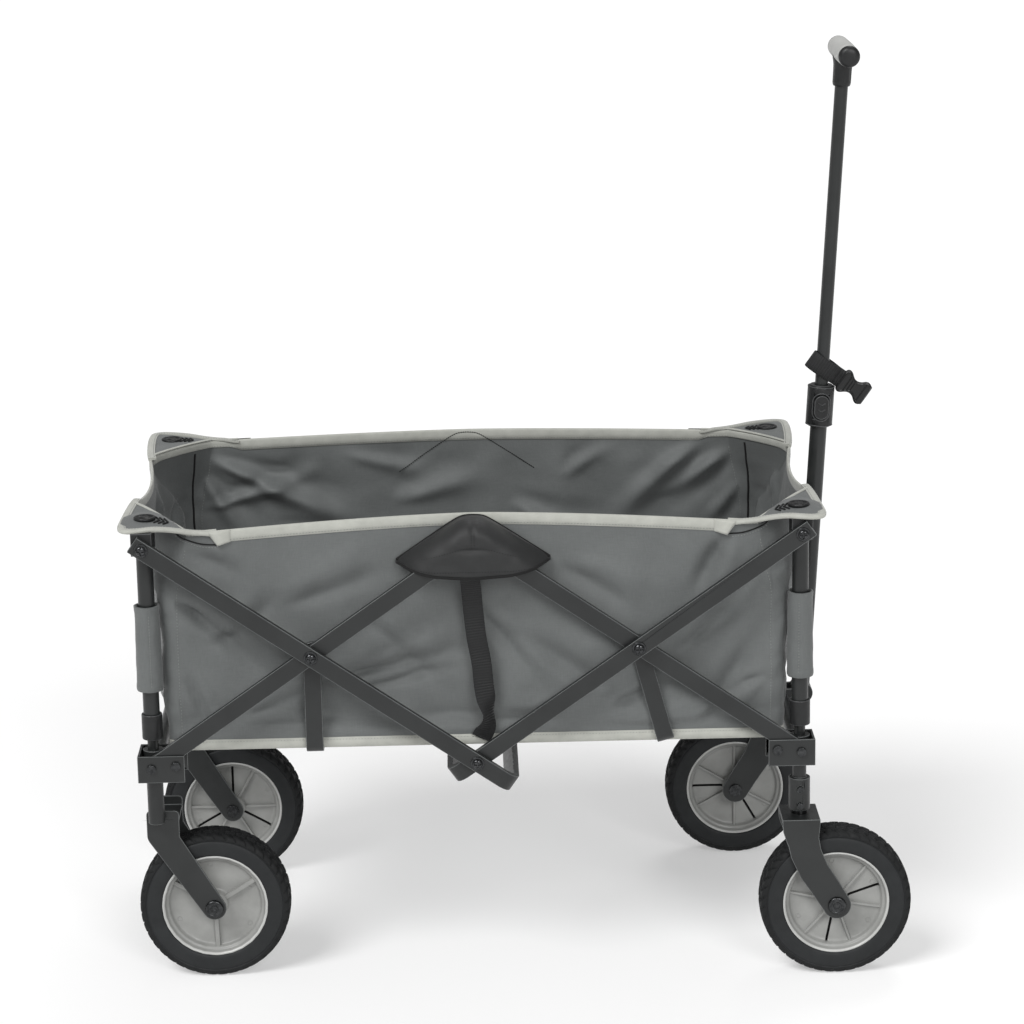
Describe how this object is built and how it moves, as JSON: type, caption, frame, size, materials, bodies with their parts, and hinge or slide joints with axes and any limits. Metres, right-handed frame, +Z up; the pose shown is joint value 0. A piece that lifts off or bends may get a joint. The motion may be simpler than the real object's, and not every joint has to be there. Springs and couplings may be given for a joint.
{
  "type": "folding utility wagon",
  "caption": "Folding utility wagon: scissor frame on telescoping posts, fabric basket, fixed rear wheels, swivel front casters, telescoping T pull handle.",
  "frame": {"origin": "on the ground, under the middle of the wagon's overall box", "axes": "+X forward to the pull handle, +Y to the wagon's left side, +Z up"},
  "size_m": [0.908, 0.4926, 1.0706],
  "materials": {
    "frame_paint": "satin powder coat, dark charcoal",
    "steel": "zinc plated",
    "bolt_black": "black oxide",
    "tyre": "moulded tread, matt",
    "rim_grey": "moulded light grey",
    "plastic_black": "moulded black",
    "fabric_grey": "woven polyester",
    "fabric_black": "woven polyester, black",
    "webbing_black": "ribbed webbing",
    "board_black": "covered board",
    "grip_grey": "soft light grey"
  },
  "bodies": {
    "chassis": {"rear_cross_tube": "frame_paint", "rear_brackets": "frame_paint", "rear_inner_posts": "frame_paint", "rear_forks": "frame_paint", "rear_axles": "steel", "rear_bolts": "bolt_black"},
    "rear_wheel_right": {"rear_tyre_right": "tyre", "rear_rim_right": "rim_grey"},
    "rear_wheel_left": {"rear_tyre_left": "tyre", "rear_rim_left": "rim_grey"},
    "inner_arms_rear": {"rear_inner_arms": "frame_paint", "rear_crossing_bolts": "bolt_black"},
    "outer_arms_rear": {"rear_outer_arms": "frame_paint", "rear_outer_crossbar": "frame_paint", "bottom_centre_bolts": "bolt_black"},
    "upper_rear": {"rear_posts": "frame_paint", "rear_post_ends": "plastic_black", "rear_top_brackets": "plastic_black", "rear_top_bolts": "bolt_black", "rear_corner_covers": "fabric_grey", "basket": "fabric_grey", "floor_board": "board_black"},
    "outer_arms_front": {"front_outer_arms": "frame_paint", "front_outer_crossbar": "frame_paint", "front_crossing_bolts": "bolt_black"},
    "inner_arms_front": {"front_inner_arms": "frame_paint"},
    "upper_front": {"front_posts": "frame_paint", "front_post_ends": "plastic_black", "front_top_brackets": "plastic_black", "front_top_bolts": "bolt_black", "front_corner_covers": "fabric_grey"},
    "front_chassis": {"front_cross_tube": "frame_paint", "front_brackets": "frame_paint", "front_inner_posts": "frame_paint", "caster_sockets": "frame_paint", "front_bolts": "bolt_black", "handle_yoke": "frame_paint", "handle_pin": "steel"},
    "support_rear": {"rear_floor_support": "frame_paint"},
    "support_front": {"front_floor_support": "frame_paint"},
    "top_centre": {"top_centre_bolts": "bolt_black", "centre_straps": "fabric_black"},
    "caster_right": {"caster_fork_right": "frame_paint", "caster_stem_right": "steel", "caster_axle_right": "steel"},
    "caster_left": {"caster_fork_left": "frame_paint", "caster_stem_left": "steel", "caster_axle_left": "steel"},
    "front_wheel_right": {"front_tyre_right": "tyre", "front_rim_right": "rim_grey"},
    "front_wheel_left": {"front_tyre_left": "tyre", "front_rim_left": "rim_grey"},
    "handle_lower": {"handle_lower_tube": "frame_paint", "handle_collar": "plastic_black", "handle_strap": "webbing_black", "strap_buckle": "plastic_black"},
    "handle_push_button": {"handle_button": "plastic_black"},
    "handle_upper": {"handle_upper_tube": "frame_paint", "handle_tee": "plastic_black", "handle_grip": "grip_grey"}
  },
  "joints": [
    {"name": "fold", "type": "hinge", "parent": "chassis", "child": "inner_arms_rear", "pos_m": [-0.427, 0, 0.278], "axis": [0, -1, 0], "range_deg": [0, 36], "deforming": ["basket", "floor_board", "centre_straps", "rear_corner_covers", "front_corner_covers"]},
    {"name": "rear_crossing", "type": "hinge", "parent": "inner_arms_rear", "child": "outer_arms_rear", "pos_m": [-0.2395, 0, 0.409], "axis": [0, -1, 0], "range_deg": [-73, 1]},
    {"name": "rear_top_pivot", "type": "hinge", "parent": "outer_arms_rear", "child": "upper_rear", "pos_m": [-0.427, 0, 0.54], "axis": [0, -1, 0], "range_deg": [-1, 37]},
    {"name": "bottom_centre", "type": "hinge", "parent": "outer_arms_rear", "child": "outer_arms_front", "pos_m": [-0.052, 0, 0.278], "axis": [0, -1, 0], "range_deg": [-1, 73]},
    {"name": "front_crossing", "type": "hinge", "parent": "outer_arms_front", "child": "inner_arms_front", "pos_m": [0.1355, 0, 0.409], "axis": [0, -1, 0], "range_deg": [-73, 1]},
    {"name": "front_top_pivot", "type": "hinge", "parent": "outer_arms_front", "child": "upper_front", "pos_m": [0.323, 0, 0.54], "axis": [0, -1, 0], "range_deg": [-37, 1]},
    {"name": "front_low_pivot", "type": "hinge", "parent": "inner_arms_front", "child": "front_chassis", "pos_m": [0.323, 0, 0.278], "axis": [0, -1, 0], "range_deg": [-1, 37]},
    {"name": "rear_support_hang", "type": "hinge", "parent": "inner_arms_rear", "child": "support_rear", "pos_m": [-0.2395, 0, 0.409], "axis": [0, -1, 0], "range_deg": [-37, 1]},
    {"name": "front_support_hang", "type": "hinge", "parent": "outer_arms_front", "child": "support_front", "pos_m": [0.1355, 0, 0.409], "axis": [0, -1, 0], "range_deg": [-37, 1]},
    {"name": "top_centre_hang", "type": "hinge", "parent": "inner_arms_rear", "child": "top_centre", "pos_m": [-0.052, 0, 0.54], "axis": [0, -1, 0], "range_deg": [-37, 1]},
    {"name": "rear_wheel_right_spin", "type": "hinge", "parent": "chassis", "child": "rear_wheel_right", "pos_m": [-0.365, -0.168, 0.089], "axis": [0, 1, 0], "continuous": true},
    {"name": "rear_wheel_left_spin", "type": "hinge", "parent": "chassis", "child": "rear_wheel_left", "pos_m": [-0.365, 0.168, 0.089], "axis": [0, 1, 0], "continuous": true},
    {"name": "caster_right_swivel", "type": "hinge", "parent": "front_chassis", "child": "caster_right", "pos_m": [0.323, -0.204, 0.215], "axis": [0, 0, 1], "continuous": true},
    {"name": "caster_left_swivel", "type": "hinge", "parent": "front_chassis", "child": "caster_left", "pos_m": [0.323, 0.204, 0.215], "axis": [0, 0, 1], "continuous": true},
    {"name": "front_wheel_right_spin", "type": "hinge", "parent": "caster_right", "child": "front_wheel_right", "pos_m": [0.365, -0.204, 0.089], "axis": [0, 1, 0], "continuous": true},
    {"name": "front_wheel_left_spin", "type": "hinge", "parent": "caster_left", "child": "front_wheel_left", "pos_m": [0.281, 0.204, 0.089], "axis": [0, 1, 0], "continuous": true},
    {"name": "handle_tilt", "type": "hinge", "parent": "front_chassis", "child": "handle_lower", "pos_m": [0.346, 0, 0.28], "axis": [0, 1, 0], "range_deg": [0, 95]},
    {"name": "handle_telescope", "type": "slide", "parent": "handle_lower", "child": "handle_upper", "axis": [0.0593, 0, 0.9982], "range_m": [-0.3, 0]},
    {"name": "button_press", "type": "slide", "parent": "handle_lower", "child": "handle_push_button", "axis": [0, 1, 0], "range_m": [0, 0.0025], "stiffness_N_per_m": 400}
  ],
  "couplings": [
    {"joint": "rear_crossing", "follows": "fold", "ratio": -2},
    {"joint": "rear_top_pivot", "follows": "fold", "ratio": 1},
    {"joint": "bottom_centre", "follows": "fold", "ratio": 2},
    {"joint": "front_crossing", "follows": "fold", "ratio": -2},
    {"joint": "front_top_pivot", "follows": "fold", "ratio": -1},
    {"joint": "front_low_pivot", "follows": "fold", "ratio": 1},
    {"joint": "rear_support_hang", "follows": "fold", "ratio": -1},
    {"joint": "front_support_hang", "follows": "fold", "ratio": -1},
    {"joint": "top_centre_hang", "follows": "fold", "ratio": -1}
  ]
}
